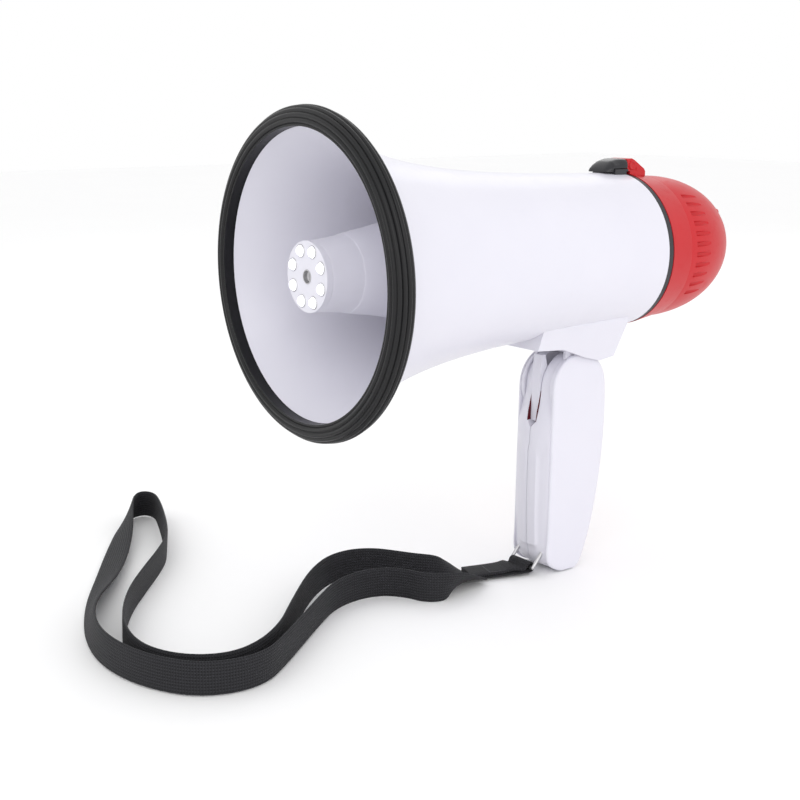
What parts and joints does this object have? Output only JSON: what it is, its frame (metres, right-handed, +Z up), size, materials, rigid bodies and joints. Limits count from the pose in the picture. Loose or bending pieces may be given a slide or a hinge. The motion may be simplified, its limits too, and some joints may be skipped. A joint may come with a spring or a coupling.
{
  "type": "handheld megaphone",
  "caption": "Handheld megaphone: flared horn with rubber rim, reflex cup with lamps, twist-off rear cap, folding pistol handle with trigger, and a webbing strap.",
  "frame": {"origin": "on the ground under the middle of the object, without its strap", "axes": "+Z up, the horn's mouth faces -Y, +X is the object's left seen from behind the mouth looking at it"},
  "size_m": [0.2823, 0.3552, 0.2398],
  "materials": {
    "white_shell": "satin white injection moulded plastic",
    "red_shell": "glossy red plastic",
    "black_rubber": "ribbed black rubber",
    "black_plastic": "glossy black plastic",
    "dark_plastic": "dark matte plastic",
    "steel": "zinc plated steel",
    "lamp_lens": "clear white lamp lens",
    "board": "green printed circuit board",
    "paper_cone": "treated cloth diaphragm",
    "magnet": "sintered ferrite magnet",
    "cell_can": "painted steel cell can",
    "contact": "nickel plated brass strip",
    "foam": "open cell foam",
    "webbing": "woven nylon webbing"
  },
  "bodies": {
    "horn": {"horn_shell": "white_shell", "rim_bumper": "black_rubber", "reflex_cup": "white_shell", "lamp_plate": "white_shell", "lamps": "lamp_lens", "lamp_board": "board", "cup_screw": "steel", "throat_horn": "white_shell", "driver_frame": "dark_plastic", "driver_diaphragm": "paper_cone", "driver_magnet": "magnet", "driver_yoke": "steel", "driver_screws": "steel", "battery_holder": "dark_plastic", "battery_cells": "cell_can", "battery_contacts": "contact", "bayonet_ring": "black_plastic", "latch_base": "dark_plastic", "bracket": "white_shell", "hinge_pin": "steel", "bracket_screws": "steel", "strap_webbing": "webbing"},
    "cap": {"rear_cap": "red_shell", "mic_grille": "dark_plastic", "mic_foam": "foam", "mic_capsule": "steel", "volume_pot": "dark_plastic", "siren_switch": "dark_plastic", "amplifier_board": "board", "amplifier_parts": "dark_plastic"},
    "volume": {"volume_knob": "black_plastic"},
    "siren": {"siren_button": "black_plastic"},
    "latch": {"latch_slide": "black_plastic"},
    "handle": {"handle_shell_right": "white_shell", "handle_shell_left": "white_shell", "handle_screws": "steel", "side_cover_right": "white_shell", "side_cover_left": "white_shell", "trigger_pin": "steel", "trigger_spring": "steel", "micro_switch": "dark_plastic"},
    "trigger": {"trigger": "white_shell"},
    "bail": {"strap_bail": "steel", "strap_tab": "webbing"}
  },
  "joints": [
    {"name": "handle_fold", "type": "hinge", "parent": "horn", "child": "handle", "pos_m": [0, 0.0307, 0.097], "axis": [1, 0, 0], "range_deg": [-82, 0], "deforming": ["strap_webbing"]},
    {"name": "trigger_pull", "type": "hinge", "parent": "handle", "child": "trigger", "pos_m": [0, 0.018, 0.0805], "axis": [1, 0, 0], "range_deg": [-6, 0], "stiffness_Nm_per_rad": 0.15, "springref_deg": 5.73, "deforming": ["trigger_spring"]},
    {"name": "bail_swing", "type": "hinge", "parent": "handle", "child": "bail", "pos_m": [0, 0.0127, 0.013], "axis": [1, 0, 0], "range_deg": [-60, 30], "deforming": ["strap_tab"]},
    {"name": "cap_twist", "type": "hinge", "parent": "horn", "child": "cap", "pos_m": [0, 0.0682, 0.165], "axis": [0, 1, 0], "range_deg": [0, 30]},
    {"name": "volume_turn", "type": "hinge", "parent": "cap", "child": "volume", "pos_m": [-0.0134, 0.1307, 0.165], "axis": [0, 1, 0], "range_deg": [0, 270]},
    {"name": "siren_press", "type": "slide", "parent": "cap", "child": "siren", "axis": [0, 1, 0], "range_m": [-0.001, 0], "stiffness_N_per_m": 400, "springref_m": 0.001},
    {"name": "latch_slide_back", "type": "slide", "parent": "horn", "child": "latch", "axis": [0, 1, 0], "range_m": [-0.003, 0]}
  ]
}
